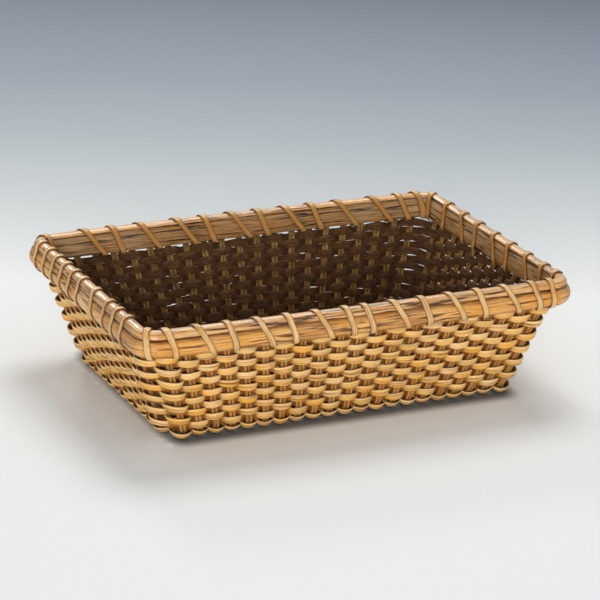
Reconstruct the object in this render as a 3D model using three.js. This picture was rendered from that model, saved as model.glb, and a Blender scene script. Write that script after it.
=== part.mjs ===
// An open rattan tray basket: paired-rod stakes, woven rows of flat cane, a woven base
// and a rim of two hoops and a top strip, bound with flat cane.
// Millimetres, +Z up, X along the length, origin on the floor at the middle.
import * as THREE from "three";

// Rim, measured over the outer hoop
const RIM_LENGTH = 381;
const RIM_DEPTH = 254;
const RIM_CORNER_RADIUS = 11;
const RIM_BOW = 2.5;

// Foot of the walls, between the centre lines of the stakes
const FOOT_LENGTH = 302;
const FOOT_DEPTH = 190.4;

// Stakes, each a pair of rods side by side
const ROD_DIAMETER = 3;
const LONG_STAKE_COUNT = 21;
const SHORT_STAKE_COUNT = 12;
const END_STAKE_SETBACK = 15;
const BEND_SETBACK = 4.6;
const RUNNER_RISE = 5;

// Weavers of the walls and of the base
const ROW_COUNT = 13;
const WEAVER_HEIGHT = 5.6;
const BEND_ROW_HEIGHT = 4.4;
const WEAVER_THICKNESS = 1.9;
const ROW_GAP = 0.2;
const FIRST_ROW_ABOVE_BEND = 2.7;
const BASE_WEAVER_WIDTH = 7.4;
const BASE_WEAVER_THICKNESS = 1.4;
const BASE_INSET = 4.4;
const BASE_TURN_INSET = 1.2;
const CORNER_EASE = 1.9;
const BEND_EASE_INSIDE = 1.2;
const BEND_EASE_OUTSIDE = 0.2;

// Rim pieces
const HOOP_HEIGHT = 15.8;
const OUTER_HOOP_THICKNESS = 8.8;
const INNER_HOOP_THICKNESS = 4.4;
const TOP_STRIP_WIDTH = 11.2;
const TOP_STRIP_HEIGHT = 4.2;
const STRIP_SHOULDER = 0.35;
const STRIP_CROWN = 0.45;

// Flat cane of the rim lashing
const CANE_WIDTH = 5.4;
const CANE_THICKNESS = 1;
const INNER_SLANT = 0.42;
const TOP_SLANT = 0.16;
const OUTER_SLANT = 0.42;

// Clearances between pieces that touch
const WEAVE_CLEARANCE = 0.26;
const LAYER_CLEARANCE = 0.2;
const LASHING_CLEARANCE = 0.35;
const RUNNER_CLEARANCE = 0.5;
const HOOP_CLEARANCE = 0.6;

// Gaps of each wall, counted counter-clockwise, that the lashing passes over
const FRONT_GAPS_SKIPPED = [2, 5, 8, 12, 15, 18];
const RIGHT_GAPS_SKIPPED = [3, 6, 9];
const BACK_GAPS_SKIPPED = [3, 5, 8, 11, 14, 16, 19];
const LEFT_GAPS_SKIPPED = [7];

const ROD_RADIUS = ROD_DIAMETER / 2;
const STAKE_WIDTH = 2 * ROD_DIAMETER;
const STAKES_AROUND = 2 * (LONG_STAKE_COUNT + SHORT_STAKE_COUNT);
const LAST_LONG = (LONG_STAKE_COUNT - 1) / 2;
const LAST_SHORT = (SHORT_STAKE_COUNT - 1) / 2;
const DOWN = new THREE.Vector3(0, 0, -1);

// Heights: the end stakes run under the front-to-back ones as runners
const RUNNER_Z = ROD_RADIUS;
const FOOT_Z = RUNNER_Z + ROD_DIAMETER + RUNNER_CLEARANCE;
const ROW_PITCH_Z = WEAVER_HEIGHT + ROW_GAP;
const FIRST_ROW_Z = FOOT_Z + BEND_SETBACK + FIRST_ROW_ABOVE_BEND;
const WEAVE_TOP_Z = FIRST_ROW_Z + (ROW_COUNT - 2) * ROW_PITCH_Z + WEAVER_HEIGHT / 2;
const HOOP_BOTTOM_Z = WEAVE_TOP_Z + CANE_THICKNESS + LASHING_CLEARANCE + LAYER_CLEARANCE;
const HOOP_TOP_Z = HOOP_BOTTOM_Z + HOOP_HEIGHT;
const HOOP_MIDDLE_Z = (HOOP_BOTTOM_Z + HOOP_TOP_Z) / 2;
const STAKE_TOP_Z = HOOP_TOP_Z - LAYER_CLEARANCE;
const HOOP_FACE = ROD_RADIUS + HOOP_CLEARANCE;
const WALL_REACH = HOOP_FACE + OUTER_HOOP_THICKNESS;

// Half length and half depth of the walls' middle surface at a height, and the
// drop of the rim's pieces towards the outside, which keeps them square to the walls
const RISE = HOOP_MIDDLE_Z - FOOT_Z;
const LEAN_X = (RIM_LENGTH / 2 - WALL_REACH - FOOT_LENGTH / 2) / RISE;
const LEAN_Y = (RIM_DEPTH / 2 - WALL_REACH - FOOT_DEPTH / 2) / RISE;
const halfLength = (z) => FOOT_LENGTH / 2 + LEAN_X * (z - FOOT_Z);
const halfDepth = (z) => FOOT_DEPTH / 2 + LEAN_Y * (z - FOOT_Z);
const RIM_TILT = (LEAN_X + LEAN_Y) / 2;

// Width left inside the bends for the base, and the spacing of its stakes
const LONG_PITCH = (FOOT_LENGTH / 2 - BEND_SETBACK - RUNNER_RISE - STAKE_WIDTH / 2) / LAST_LONG;
const BASE_EDGE = BEND_SETBACK + BASE_INSET + BASE_WEAVER_WIDTH / 2 + LAYER_CLEARANCE;
const SHORT_PITCH = (FOOT_DEPTH / 2 - BASE_EDGE) / (SHORT_STAKE_COUNT / 2);

// A point of a quarter of the rim's rounded rectangle, front to right for quarter 0.
// The path runs from 0 at the middle of a long side over 1 and 2 at the ends of the
// corner's arc to 3 at the middle of a short side; out is the distance outside the
// walls' middle surface.
function quarterPoint(quarter, path, z, out) {
  const radius = RIM_CORNER_RADIUS;
  const longHalf = halfLength(z) - radius;
  const shortHalf = halfDepth(z) - radius;
  let x = longHalf * Math.min(path, 1);
  let y = -(shortHalf + radius + out);
  if (path > 1) {
    const angle = Math.min(path - 1, 1) * Math.PI / 2;
    x += (radius + out) * Math.sin(angle);
    y = -(shortHalf + (radius + out) * Math.cos(angle));
  }
  if (path > 2) y *= 3 - path;
  y -= RIM_BOW * Math.max(0, 1 - (x / (longHalf + radius)) ** 2) * Math.min(1, -y / shortHalf);
  const right = quarter === 0 || quarter === 1;
  const front = quarter === 0 || quarter === 3;
  return new THREE.Vector3(right ? x : -x, front ? y : -y, z);
}

// A point of the rim at a place, counted in stakes from the middle of the front,
// counter-clockwise. The last stakes of a wall stand a setback before its ends.
function rimPoint(place, z, out) {
  const radius = RIM_CORNER_RADIUS;
  const longHalf = halfLength(z) - radius;
  const shortHalf = halfDepth(z) - radius;
  const arc = radius * Math.PI / 2;
  const total = longHalf + arc + shortHalf;
  const longRun = halfLength(z) - END_STAKE_SETBACK;
  const shortRun = halfDepth(z) - END_STAKE_SETBACK;
  const places = STAKES_AROUND / 4;
  const turn = (place % STAKES_AROUND + STAKES_AROUND) % STAKES_AROUND;
  const quarter = Math.floor(turn / places);
  const within = turn - quarter * places;
  const fromLong = quarter % 2 === 1 ? places - within : within;
  const fromShort = places - fromLong;
  let along = longRun + (fromLong - LAST_LONG) * (total - longRun - shortRun);
  if (fromLong <= LAST_LONG) along = fromLong / LAST_LONG * longRun;
  if (fromShort <= LAST_SHORT) along = total - fromShort / LAST_SHORT * shortRun;
  if (along <= longHalf) return quarterPoint(quarter, along / longHalf, z, out);
  if (along < longHalf + arc) return quarterPoint(quarter, 1 + (along - longHalf) / arc, z, out);
  return quarterPoint(quarter, 3 - (total - along) / shortHalf, z, out);
}

// Volume inside a closed set of triangles, negative if their faces point inwards
function signedVolume(points, triangles) {
  let volume = 0;
  for (let start = 0; start < triangles.length; start += 3) {
    const [a, b, c] = triangles.slice(start, start + 3).map((index) => points[index]);
    volume += a.dot(b.clone().cross(c)) / 6;
  }
  return volume;
}

// A closed solid through sections, each a ring of points in the same order
function loft(sections, closed) {
  const sides = sections[0].length;
  const points = sections.flat();
  const triangles = [];
  const steps = closed ? sections.length : sections.length - 1;
  for (let step = 0; step < steps; step++) {
    const here = step * sides;
    const next = (step + 1) % sections.length * sides;
    for (let side = 0; side < sides; side++) {
      const other = (side + 1) % sides;
      triangles.push(here + side, next + side, next + other);
      triangles.push(here + side, next + other, here + other);
    }
  }
  if (!closed) {
    const last = (sections.length - 1) * sides;
    for (let side = 1; side < sides - 1; side++) {
      triangles.push(0, side, side + 1);
      triangles.push(last, last + side + 1, last + side);
    }
  }
  if (signedVolume(points, triangles) < 0) triangles.reverse();
  const vertices = points.flatMap((point) => point.toArray());
  const geometry = new THREE.BufferGeometry();
  geometry.setAttribute("position", new THREE.Float32BufferAttribute(vertices, 3));
  geometry.setIndex(triangles);
  geometry.computeVertexNormals();
  return geometry;
}

// Material finishes of the real cane and rattan
const finish = (color, roughness) => ({ color, roughness, metalness: 0 });
const STAKE_FINISH = finish(0x6e5032, 0.6);
const WEAVER_FINISH = finish(0xcfa566, 0.5);
const BASE_FINISH = finish(0x8a683f, 0.6);
const POLE_FINISH = finish(0xc89a60, 0.35);
const STRIP_FINISH = finish(0x8c6a46, 0.55);
const CANE_FINISH = finish(0xe6bb7c, 0.4);

const basket = new THREE.Group();

function addPiece(name, geometry, look) {
  const mesh = new THREE.Mesh(geometry, new THREE.MeshStandardMaterial(look));
  mesh.name = name;
  basket.add(mesh);
}

// The leg of the stake at a place: its foot, the way it comes along the base, and its top
function legAt(place) {
  const index = (place + STAKES_AROUND) % STAKES_AROUND;
  const backStart = LAST_LONG + SHORT_STAKE_COUNT + 1;
  const leftStart = backStart + LONG_STAKE_COUNT;
  const frontStart = leftStart + SHORT_STAKE_COUNT;
  const foot = new THREE.Vector3(0, 0, FOOT_Z);
  const outward = new THREE.Vector3();
  if (index <= LAST_LONG || index >= frontStart) {
    const column = index <= LAST_LONG ? index : index - STAKES_AROUND;
    foot.setX(column * LONG_PITCH).setY(-FOOT_DEPTH / 2);
    outward.setY(-1);
  } else if (index < backStart) {
    foot.setX(FOOT_LENGTH / 2).setY((index - LAST_LONG - 1 - LAST_SHORT) * SHORT_PITCH);
    outward.setX(1);
  } else if (index < leftStart) {
    foot.setX((backStart + LAST_LONG - index) * LONG_PITCH).setY(FOOT_DEPTH / 2);
    outward.setY(1);
  } else {
    foot.setX(-FOOT_LENGTH / 2).setY((leftStart + LAST_SHORT - index) * SHORT_PITCH);
    outward.setX(-1);
  }
  const top = rimPoint(index, STAKE_TOP_Z, 0);
  const up = top.clone().sub(foot).normalize();
  const bendStart = foot.clone().addScaledVector(outward, -BEND_SETBACK);
  const bendEnd = foot.clone().addScaledVector(up, BEND_SETBACK);
  const bendMiddle = foot.clone().multiplyScalar(2).add(bendStart).add(bendEnd).divideScalar(4);
  return { foot, top, up, outward, bendStart, bendMiddle, bendEnd };
}
const legs = Array.from({ length: STAKES_AROUND }, (_, place) => legAt(place));

// Centre and upward direction of a leg where a row crosses it; row 0 lies on the bend
function crossing(row, place) {
  const leg = legs[(place + STAKES_AROUND) % STAKES_AROUND];
  if (row === 0) {
    return { centre: leg.bendMiddle, up: leg.up.clone().add(leg.outward).normalize() };
  }
  const z = FIRST_ROW_Z + (row - 1) * ROW_PITCH_Z;
  const centre = leg.foot.clone().lerp(leg.top, (z - FOOT_Z) / (STAKE_TOP_Z - FOOT_Z));
  return { centre, up: leg.up.clone() };
}

// Frame of a leg at a row: along the wall, out of it and up it
function frameAt(row, place) {
  const before = crossing(row, place - 1).centre;
  const after = crossing(row, place + 1).centre;
  const { centre, up } = crossing(row, place);
  const arriving = centre.clone().sub(before);
  const leaving = after.clone().sub(centre);
  const along = arriving.clone().normalize().add(leaving.clone().normalize()).normalize();
  const out = along.clone().cross(up).normalize();
  const pitch = Math.min(arriving.length(), leaving.length());
  return { centre, up, along, out, pitch, turn: arriving.angleTo(leaving) };
}

// How far a zigzag strip's middle lies from the stakes it passes, to clear their edges;
// the mitre depends on the offset, so the value settles over a few rounds
function passOffset(spacing, thickness) {
  const rounds = 8;
  let offset = ROD_DIAMETER;
  for (let round = 0; round < rounds; round++) {
    const mitre = Math.hypot(1, 2 * offset / spacing);
    offset = (ROD_RADIUS + WEAVE_CLEARANCE + thickness / 2 * mitre) / (1 - ROD_DIAMETER / spacing);
  }
  return offset;
}

// A row of the wall: outside one stake and inside the next, all round
function wallRow(row) {
  const sections = [];
  for (let place = 0; place < STAKES_AROUND; place++) {
    const { centre, up, along, out, pitch, turn } = frameAt(row, place);
    const side = (place + row) % 2 === 0 ? 1 : -1;
    const corner = side > 0 ? CORNER_EASE * ROD_DIAMETER * Math.sin(turn / 2) : 0;
    const ease = side < 0 ? BEND_EASE_INSIDE : BEND_EASE_OUTSIDE;
    const bend = row === 0 ? ease : 0;
    const level = new THREE.Vector3(along.y, -along.x, 0).normalize();
    const middle = passOffset(pitch, WEAVER_THICKNESS) + bend;
    const half = WEAVER_THICKNESS / 2 * Math.hypot(1, 2 * middle / pitch);
    const rise = (row === 0 ? BEND_ROW_HEIGHT : WEAVER_HEIGHT) / 2;
    const point = (offset, height) =>
      centre.clone().addScaledVector(out, offset).addScaledVector(up, height)
        .addScaledVector(level, corner);
    sections.push([
      point(side * middle - half, -rise),
      point(side * middle - half, rise),
      point(side * middle + half, rise),
      point(side * middle + half, -rise),
    ]);
  }
  return loft(sections, true);
}

// Section of a pair of rods: flat above and below, pointed at the sides
function rodPair(centre, across, out) {
  const outline = [[-2, 0], [-1, -1], [1, -1], [2, 0], [1, 1], [-1, 1]];
  return outline.map(([width, depth]) =>
    centre.clone().addScaledVector(across, width * ROD_RADIUS)
      .addScaledVector(out, depth * ROD_RADIUS));
}

// Sections up one leg of a stake, from the base to the top
function legSections(place, across) {
  const leg = legs[place];
  const out = leg.up.clone().cross(across).normalize();
  if (out.dot(leg.outward) < 0) out.negate();
  const bendOut = out.clone().add(DOWN).normalize();
  return [
    rodPair(leg.bendStart, across, DOWN),
    rodPair(leg.bendMiddle, across, bendOut),
    rodPair(leg.bendEnd, across, out),
    rodPair(leg.top, across, out),
  ];
}

// A stake: up one wall, across the base and up the wall opposite
function stake(place, opposite, across, baseZ) {
  const near = legSections(place, across);
  const far = legSections(opposite, across);
  const middle = [];
  if (baseZ < FOOT_Z) {
    for (const leg of [legs[place], legs[opposite]]) {
      const landing = leg.bendStart.clone().addScaledVector(leg.outward, -RUNNER_RISE).setZ(baseZ);
      middle.push(rodPair(landing, across, DOWN));
    }
  }
  return loft([...near.reverse(), ...middle, ...far], false);
}

// A strand of the base: parallel passes over and under the front-to-back stakes,
// joined by turns that lie on top of the last stake it crosses
function baseStrand(firstPass, lastStake) {
  const halfWidth = BASE_WEAVER_WIDTH / 2;
  const shortRun = LONG_PITCH - halfWidth;
  const offset = passOffset(shortRun, BASE_WEAVER_THICKNESS);
  const half = BASE_WEAVER_THICKNESS / 2 * Math.hypot(1, 2 * offset / shortRun);
  const sections = [];
  let heading = 1;
  const addSection = (x, y, level, skew) => {
    const point = (sideways, height) => new THREE.Vector3(
      x - skew * sideways * halfWidth, y + heading * sideways * halfWidth, level + height * half);
    sections.push([point(-1, 1), point(1, 1), point(1, -1), point(-1, -1)]);
  };
  for (let pass = firstPass; pass <= SHORT_STAKE_COUNT; pass += 2) {
    const y = (pass - SHORT_STAKE_COUNT / 2) * SHORT_PITCH;
    const end = lastStake * LONG_PITCH - BASE_TURN_INSET;
    const top = FOOT_Z + offset;
    if (pass > firstPass) addSection(-heading * end, y, top, 1);
    addSection(-heading * (end - halfWidth), y, top, 0);
    for (let step = 1; step < 2 * lastStake; step++) {
      const level = step % 2 === 0 ? top : FOOT_Z - offset;
      addSection(heading * (step - lastStake) * LONG_PITCH, y, level, 0);
    }
    addSection(heading * (end - halfWidth), y, top, 0);
    if (pass + 2 <= SHORT_STAKE_COUNT) addSection(heading * end, y, top, 1);
    heading = -heading;
  }
  return loft(sections, false);
}

// A hoop of the rim, from its section as [out, height] points, counter-clockwise.
// It has a few sections on each straight and more round a corner.
function hoop(profile) {
  const straightSteps = 3;
  const arcSteps = 5;
  const stops = [];
  for (let step = 0; step < straightSteps; step++) stops.push(step / straightSteps);
  for (let step = 0; step < arcSteps; step++) stops.push(1 + step / arcSteps);
  for (let step = 0; step <= straightSteps; step++) stops.push(2 + step / straightSteps);
  const sections = [];
  for (let quarter = 0; quarter < 4; quarter++) {
    const order = quarter % 2 === 1 ? stops.slice(1).reverse() : stops.slice(0, -1);
    for (const path of order) {
      sections.push(profile.map(([out, z]) => quarterPoint(quarter, path, z - RIM_TILT * out, out)));
    }
  }
  return loft(sections, true);
}

// Half-round pole: flat towards the stakes, round outside
const HALF_ROUND_STEPS = 6;
function halfRound(step) {
  const angle = Math.PI * (step / HALF_ROUND_STEPS - 0.5);
  return [
    HOOP_FACE + OUTER_HOOP_THICKNESS * Math.cos(angle),
    HOOP_MIDDLE_Z + HOOP_HEIGHT / 2 * Math.sin(angle),
    Math.cos(angle),
    Math.sin(angle),
  ];
}
const outerHoopProfile = Array.from(
  { length: HALF_ROUND_STEPS + 1 }, (_, step) => halfRound(step).slice(0, 2));

const innerHoopProfile = [
  [-HOOP_FACE, HOOP_BOTTOM_Z],
  [-HOOP_FACE, HOOP_TOP_Z],
  [-HOOP_FACE - INNER_HOOP_THICKNESS, HOOP_TOP_Z],
  [-HOOP_FACE - INNER_HOOP_THICKNESS, HOOP_BOTTOM_Z],
];

// The strip that covers the stake ends lies on both hoops. Its back is rounded: the
// shoulder is a share of its height and the crown a share of its half width.
const STRIP_BOTTOM_Z = HOOP_TOP_Z + LAYER_CLEARANCE;
const STRIP_INNER = -HOOP_FACE - INNER_HOOP_THICKNESS;
const STRIP_MIDDLE = STRIP_INNER + TOP_STRIP_WIDTH / 2;
const stripPoint = (wide, high) => [
  STRIP_MIDDLE + wide * TOP_STRIP_WIDTH / 2, STRIP_BOTTOM_Z + high * TOP_STRIP_HEIGHT];
const topStripProfile = [
  stripPoint(-1, 0),
  stripPoint(1, 0),
  stripPoint(1, STRIP_SHOULDER),
  stripPoint(STRIP_CROWN, 1),
  stripPoint(-STRIP_CROWN, 1),
  stripPoint(-1, STRIP_SHOULDER),
];

// Route of one loop round the rim's section, from under the outer hoop over the inside
// and the top: [out, height, facing out, facing up, share of the loop's travel].
// At a corner the facing is longer than 1, so the cane keeps its clearance beside it.
function lashingRoute() {
  const overTop = INNER_SLANT + TOP_SLANT;
  const outside = [];
  for (let step = HALF_ROUND_STEPS - 1; step > 0; step--) {
    const share = 1 - step / HALF_ROUND_STEPS;
    outside.push([...halfRound(step), overTop + share * OUTER_SLANT]);
  }
  return [
    [HOOP_FACE, HOOP_BOTTOM_Z, 0.3, -1, 0],
    [STRIP_INNER, HOOP_BOTTOM_Z, -0.9, -1, 0],
    [...stripPoint(-1, STRIP_SHOULDER), -0.9, 0.4, INNER_SLANT],
    [...stripPoint(-STRIP_CROWN, 1), -0.4, 0.9, INNER_SLANT + TOP_SLANT / 3],
    [...stripPoint(STRIP_CROWN, 1), 0.4, 0.9, overTop - TOP_SLANT / 3],
    [...stripPoint(1, STRIP_SHOULDER), 0.9, 0.5, overTop],
    ...outside,
  ];
}

// One winding: a single flat cane that loops the rim through the gaps given, in order
function winding(gaps) {
  const route = lashingRoute();
  const sections = [];
  const centres = [];
  const near = LASHING_CLEARANCE;
  const far = near + CANE_THICKNESS;
  const probe = 0.1;
  gaps.forEach((gap, loop) => {
    const following = loop + 1 < gaps.length ? gaps[loop + 1] : gap + 1;
    const travel = following - gap;
    route.forEach(([out, z, faceOut, faceUp, share]) => {
      const place = gap + share * travel;
      const at = (way, lift) => {
        const reach = out + faceOut * lift;
        return rimPoint(place + way, z + faceUp * lift - RIM_TILT * reach, reach);
      };
      const halfTurn = CANE_WIDTH / 2 * probe / at(0, near).distanceTo(at(probe, near));
      sections.push([
        at(-halfTurn, near), at(-halfTurn, far), at(halfTurn, far), at(halfTurn, near)]);
      centres.push(at(0, near));
    });
  });
  let least = Infinity;
  centres.forEach((a, index) => {
    for (const b of centres.slice(index + Math.ceil(route.length / 2))) {
      least = Math.min(least, a.distanceTo(b) - CANE_WIDTH);
    }
  });
  return { geometry: loft(sections, false), least };
}

for (let column = -LAST_LONG; column <= LAST_LONG; column++) {
  const front = (column + STAKES_AROUND) % STAKES_AROUND;
  const back = STAKES_AROUND / 2 - column;
  const label = String(column + LAST_LONG + 1).padStart(2, "0");
  const solid = stake(front, back, new THREE.Vector3(1, 0, 0), FOOT_Z);
  addPiece(`cross_stake_${label}`, solid, STAKE_FINISH);
}
for (let column = -LAST_SHORT; column <= LAST_SHORT; column++) {
  const right = STAKES_AROUND / 4 + column;
  const left = STAKES_AROUND * 3 / 4 - column;
  const label = String(column + LAST_SHORT + 1).padStart(2, "0");
  const solid = stake(left, right, new THREE.Vector3(0, -1, 0), RUNNER_Z);
  addPiece(`long_stake_${label}`, solid, STAKE_FINISH);
}
for (let row = 0; row < ROW_COUNT; row++) {
  addPiece(`wall_weaver_${String(row + 1).padStart(2, "0")}`, wallRow(row), WEAVER_FINISH);
}
addPiece("base_weaver_a", baseStrand(0, LAST_LONG), BASE_FINISH);
addPiece("base_weaver_b", baseStrand(1, LAST_LONG - 1), BASE_FINISH);
addPiece("outer_hoop", hoop(outerHoopProfile), POLE_FINISH);
addPiece("inner_hoop", hoop(innerHoopProfile), STRIP_FINISH);
addPiece("top_strip", hoop(topStripProfile), STRIP_FINISH);

// Gaps are named by the middle between two stakes, from the gap at the wall's first corner
const wallGaps = [
  ["lashing_front", -LAST_LONG - 0.5, LONG_STAKE_COUNT, FRONT_GAPS_SKIPPED],
  ["lashing_right", LAST_LONG + 0.5, SHORT_STAKE_COUNT, RIGHT_GAPS_SKIPPED],
  ["lashing_back", LAST_LONG + SHORT_STAKE_COUNT + 0.5, LONG_STAKE_COUNT, BACK_GAPS_SKIPPED],
  ["lashing_left", -LAST_LONG - SHORT_STAKE_COUNT - 0.5, SHORT_STAKE_COUNT, LEFT_GAPS_SKIPPED],
];
for (const [name, first, count, skipped] of wallGaps) {
  const gaps = [];
  for (let gap = 0; gap < count; gap++) {
    if (!skipped.includes(gap)) gaps.push(first + gap);
  }
  const { geometry, least } = winding(gaps);
  console.log(`${name}: ${gaps.length} loops, least gap to itself ${least.toFixed(1)} mm`);
  addPiece(name, geometry, CANE_FINISH);
}

export default basket;
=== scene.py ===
# %% [markdown]
# # A rattan tray basket
# The real basket is a low open tray. Pairs of thin rods carry rows of woven cane, and a
# rim of split pole and flat strips is bound with more cane. It could be four sheets with
# a woven pattern on them, but light falls through a real weave, so every strand here is
# a shape of its own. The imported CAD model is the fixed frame: it says where each rod,
# row and hoop lies. Everything is in metres, with +Z up and the basket's middle over
# the origin.

# %% Load the frame
import math
import random

import bpy
import numpy as np
from mathutils import Matrix, Vector


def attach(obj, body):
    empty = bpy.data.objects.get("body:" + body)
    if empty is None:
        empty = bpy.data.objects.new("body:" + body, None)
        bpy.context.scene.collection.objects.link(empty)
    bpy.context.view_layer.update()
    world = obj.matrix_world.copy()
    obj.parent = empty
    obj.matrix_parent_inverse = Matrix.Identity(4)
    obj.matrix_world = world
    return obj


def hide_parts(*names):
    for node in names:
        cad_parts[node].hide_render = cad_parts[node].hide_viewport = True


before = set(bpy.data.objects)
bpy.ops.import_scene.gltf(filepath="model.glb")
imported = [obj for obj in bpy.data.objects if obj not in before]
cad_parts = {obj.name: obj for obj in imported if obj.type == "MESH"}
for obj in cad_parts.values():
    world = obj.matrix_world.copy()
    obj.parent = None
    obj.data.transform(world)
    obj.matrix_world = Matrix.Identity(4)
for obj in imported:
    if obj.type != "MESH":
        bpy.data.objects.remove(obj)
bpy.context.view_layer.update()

# %% [markdown]
# The camera stands where the photographer stood: to the left of the front, looking down
# a little, and far away with a long lens, so that the long sides stay almost parallel.
# It could be aimed by a constraint, but the picture leans by two degrees, and a matrix
# made of the three directions of view takes that lean as well.

# %% Camera
MM = 0.001
YAW, PITCH, ROLL = math.radians(25.8), math.radians(20.0), math.radians(2.1)
AIM = Vector((15, 25, 55.5)) * MM
DISTANCE = 2460 * MM
PICTURE_WIDTH, PICTURE_DROP = 600, 2
looking = Vector((math.sin(YAW) * math.cos(PITCH),
                  math.cos(YAW) * math.cos(PITCH),
                  -math.sin(PITCH)))
level = Vector((math.cos(YAW), -math.sin(YAW), 0))
upright = level.cross(looking)
right = level * math.cos(ROLL) + upright * math.sin(ROLL)
above = upright * math.cos(ROLL) - level * math.sin(ROLL)
stand = AIM - looking * DISTANCE
bpy.ops.object.select_all(action="DESELECT")
bpy.ops.object.camera_add(location=stand)
camera = bpy.context.object
turn = Matrix((right, above, -looking)).transposed().to_4x4()
camera.matrix_world = Matrix.Translation(stand) @ turn
camera.data.sensor_width = 36
camera.data.lens = 180
camera.data.shift_y = -PICTURE_DROP / PICTURE_WIDTH
camera.data.clip_end = 50
bpy.context.scene.camera = camera
print("camera at", [round(v, 3) for v in camera.location])

# %% [markdown]
# Every finish is a tree of nodes. Its maths could be wired node by node, but it reads
# best as plain sums, so one small class wraps a socket: `1 - mask` adds a Math node, and
# one method makes every other kind of node.

# %% A socket that can be used in sums
class Wire:
    """An output socket of a node tree; sums with it add Math nodes."""

    def __init__(self, tree, socket=None):
        self.tree = tree
        self.socket = socket

    def node(self, kind, settings=None, values=None, out=0):
        """A new node: its settings come first, then the values or links of its sockets."""
        new = self.tree.nodes.new(kind)
        for name, value in (settings or {}).items():
            if name == "stops":
                for spot, (place, colour) in enumerate(value):
                    stops = new.color_ramp.elements
                    stop = stops[spot] if spot < len(stops) else stops.new(place)
                    stop.position = place
                    stop.color = colour
            else:
                setattr(new, name, value)
        for name, value in (values or {}).items():
            if isinstance(value, Wire):
                self.tree.links.new(value.socket, new.inputs[name])
            else:
                new.inputs[name].default_value = value
        return Wire(self.tree, new.outputs[out])

    def math(self, operation, *values, clamp=False):
        settings = {"operation": operation, "use_clamp": clamp}
        return self.node("ShaderNodeMath", settings, dict(enumerate(values)))

    def vector(self, operation, *values, out=0):
        settings = {"operation": operation}
        return self.node("ShaderNodeVectorMath", settings, dict(enumerate(values)), out)

    def __add__(self, other):
        return self.math("ADD", self, other)

    def __sub__(self, other):
        return self.math("SUBTRACT", self, other)

    def __rsub__(self, other):
        return self.math("SUBTRACT", other, self)

    def __mul__(self, other):
        return self.math("MULTIPLY", self, other)

    __radd__ = __add__
    __rmul__ = __mul__

    def between(self, low, high):
        """0 below low, 1 above high, and smooth in between."""
        values = {"Value": self, "From Min": low, "From Max": high}
        return self.node("ShaderNodeMapRange", {"interpolation_type": "SMOOTHSTEP"}, values)

    def mix(self, first, second):
        """The colour first where this is 0 and second where it is 1."""
        values = {0: self, 6: first, 7: second}
        return self.node("ShaderNodeMix", {"data_type": "RGBA"}, values, out=2)

# %% [markdown]
# Colours are read off a screen, 0 to 255, but a shader takes them as amounts of light.
# Written straight into a socket they would all come out too pale, so one function turns
# them. Two more start a material and link a sum to its shader.

# %% Colours and new finishes
def rgb(red, green, blue):
    """A display colour, 0 to 255, as the linear colour that a shader takes."""
    def linear(value):
        share = value / 255
        return share / 12.92 if share <= 0.04045 else ((share + 0.055) / 1.055) ** 2.4
    return (linear(red), linear(green), linear(blue), 1.0)


def new_finish(name):
    """A new material: its sums start from the wire, and it ends in the shader."""
    finish = bpy.data.materials.new(name)
    finish.use_nodes = True
    shader = finish.node_tree.nodes["Principled BSDF"]
    return finish, Wire(finish.node_tree), shader


def feed(shader, name, wire):
    """Links a wire to one of the shader's sockets."""
    wire.tree.links.new(wire.socket, shader.inputs[name])


print("mid grey is", round(rgb(128, 128, 128)[0], 3), "to a shader")

# %% [markdown]
# The basket stands on a plain sweep of paper that runs from white in front to a soft
# blue-grey behind. A bent backdrop could do that, but a flat floor is simpler and keeps
# the shadow plain, so its colour follows the distance from the front instead. Close
# round the foot it takes the narrow dark line that the photograph shows there: a
# painted contact shadow in the paper's colour.

# %% Floor
PAPER_SIZE = 14
NEAR, DEEP = -0.6, 1.9
# Reach of the painted contact shadow round the foot, and how dark it is.
CONTACT_SHADOW_HALF = (0.138, 0.095, 0)
CONTACT_SHADOW_FROM, CONTACT_SHADOW_TO, CONTACT_SHADOW_SHARE = 0.004, 0.021, 0.85
bpy.ops.object.select_all(action="DESELECT")
bpy.ops.mesh.primitive_plane_add(size=PAPER_SIZE)
floor = bpy.context.object
floor.name = "floor"
paper, wire, shader = new_finish("pale_paper")
spot = wire.node("ShaderNodeTexCoord", out="Object")
ahead = (math.sin(YAW), math.cos(YAW), 0)
far = wire.vector("DOT_PRODUCT", spot, ahead, out="Value")
share = far.math("MULTIPLY_ADD", far, 1 / DEEP, -NEAR / DEEP, clamp=True)
stops = [(0.0, rgb(240, 241, 240)), (0.42, rgb(231, 232, 230)), (0.544, rgb(196, 200, 201)),
         (0.66, rgb(166, 173, 177)), (0.767, rgb(145, 152, 161)), (1.0, rgb(112, 120, 130))]
tone = wire.node("ShaderNodeValToRGB", {"stops": stops}, {"Fac": share})
beyond = wire.vector("SUBTRACT", wire.vector("ABSOLUTE", spot), CONTACT_SHADOW_HALF)
beyond = wire.vector("MAXIMUM", beyond, (0, 0, 0))
apart = wire.vector("LENGTH", beyond, out="Value")
# Painted contact shadow: the paper's colour darkens close round the foot.
painted_contact_shadow = 1 - apart.between(CONTACT_SHADOW_FROM, CONTACT_SHADOW_TO)
feed(shader, "Base Color", (painted_contact_shadow * CONTACT_SHADOW_SHARE).mix(tone, rgb(58, 52, 48)))
shader.inputs["Roughness"].default_value = 0.9
shader.inputs["Specular IOR Level"].default_value = 0.1
floor.data.materials.append(paper)
print("paper", PAPER_SIZE, "m wide, its colour spread over", DEEP, "m")

# %% [markdown]
# The photograph was taken in soft studio light. One sky could give that, but it would
# leave no glints. So a wide soft lamp hangs behind and above, and the shadow falls
# towards the camera. A small one lower down behind puts the glints on the left rim, and
# a low one in front lights the woven wall.

# %% Lamps
LIT_MIDDLE = Vector((0, 0, 0.05))


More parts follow.
